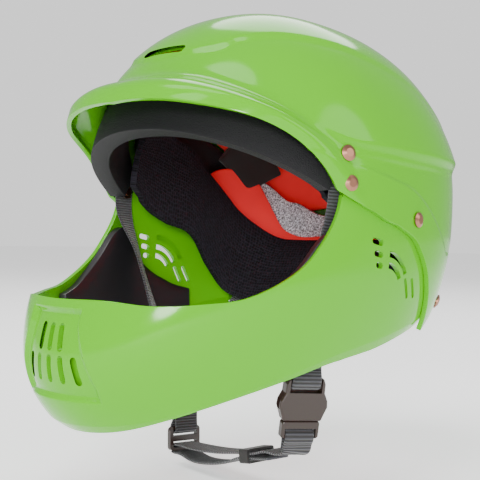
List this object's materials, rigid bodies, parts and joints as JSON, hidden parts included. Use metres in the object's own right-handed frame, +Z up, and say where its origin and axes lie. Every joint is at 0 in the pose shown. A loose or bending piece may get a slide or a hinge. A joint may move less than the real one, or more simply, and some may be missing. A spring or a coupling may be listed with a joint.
{
  "type": "full-face water helmet",
  "caption": "Full-face water-sports helmet: riveted shell and vented chin guard, foam and mesh padding, and a webbing chin strap with a side-release buckle.",
  "frame": {"origin": "centre of the head space at head-band level, 131 mm below the crown", "axes": "+Z up to the crown, -Y out of the face opening, +X towards the wearer's left"},
  "size_m": [0.2414, 0.3207, 0.3106],
  "materials": {
    "shell": "glossy",
    "rivet": "satin",
    "washer": "satin",
    "foam": "matt, fine grained",
    "red_fabric": "brushed",
    "black_fabric": "brushed",
    "liner": "moulded bead foam, speckled",
    "mesh": "spacer mesh",
    "moulded_pad": "smooth moulded foam",
    "webbing": "ribbed webbing",
    "buckle": "glossy",
    "keeper": "matt"
  },
  "bodies": {
    "helmet": {"outer_shell": "shell", "chin_guard": "shell", "rivets": "rivet", "rivet_washers": "washer", "brow_foam": "foam", "crown_pad": "red_fabric", "crown_blocks": "black_fabric", "impact_liner": "liner", "side_foam": "foam", "rear_lining": "red_fabric", "fit_band": "mesh", "cheek_pad_left": "moulded_pad", "cheek_pad_right": "moulded_pad", "front_strap_left": "webbing", "front_strap_right": "webbing", "rear_strap_left": "webbing", "rear_strap_right": "webbing"},
    "chin_strap": {"buckle_socket": "buckle", "chin_webbing": "webbing", "webbing_tail": "webbing", "strap_slider": "buckle"},
    "plug": {"buckle_plug": "buckle"},
    "prong_l": {"prong_left": "buckle"},
    "prong_r": {"prong_right": "buckle"},
    "keeper": {"webbing_keeper": "keeper"}
  },
  "joints": [
    {"name": "chin_strap_swing", "type": "hinge", "parent": "helmet", "child": "chin_strap", "pos_m": [0.079, -0.034, -0.11], "axis": [-0.9102, 0.0988, -0.4022], "range_deg": [-40, 40], "deforming": ["front_strap_left", "front_strap_right", "rear_strap_left", "rear_strap_right"]},
    {"name": "buckle_release", "type": "slide", "parent": "chin_strap", "child": "plug", "axis": [-0.17, 0.03, -0.985], "range_m": [0, 0.024], "deforming": ["chin_webbing", "prong_left", "prong_right"]},
    {"name": "prong_press_left", "type": "hinge", "parent": "plug", "child": "prong_l", "pos_m": [0.07106, -0.04107, -0.13321], "axis": [-0.8801, 0.445, 0.1655], "range_deg": [0, 16], "stiffness_Nm_per_rad": 0.05},
    {"name": "prong_press_right", "type": "hinge", "parent": "plug", "child": "prong_r", "pos_m": [0.07878, -0.02549, -0.13407], "axis": [0.8801, -0.445, -0.1655], "range_deg": [0, 16], "stiffness_Nm_per_rad": 0.05},
    {"name": "keeper_slide", "type": "slide", "parent": "chin_strap", "child": "keeper", "axis": [-0.9891, 0.0495, -0.1385], "range_m": [-0.003, 0.003]}
  ]
}
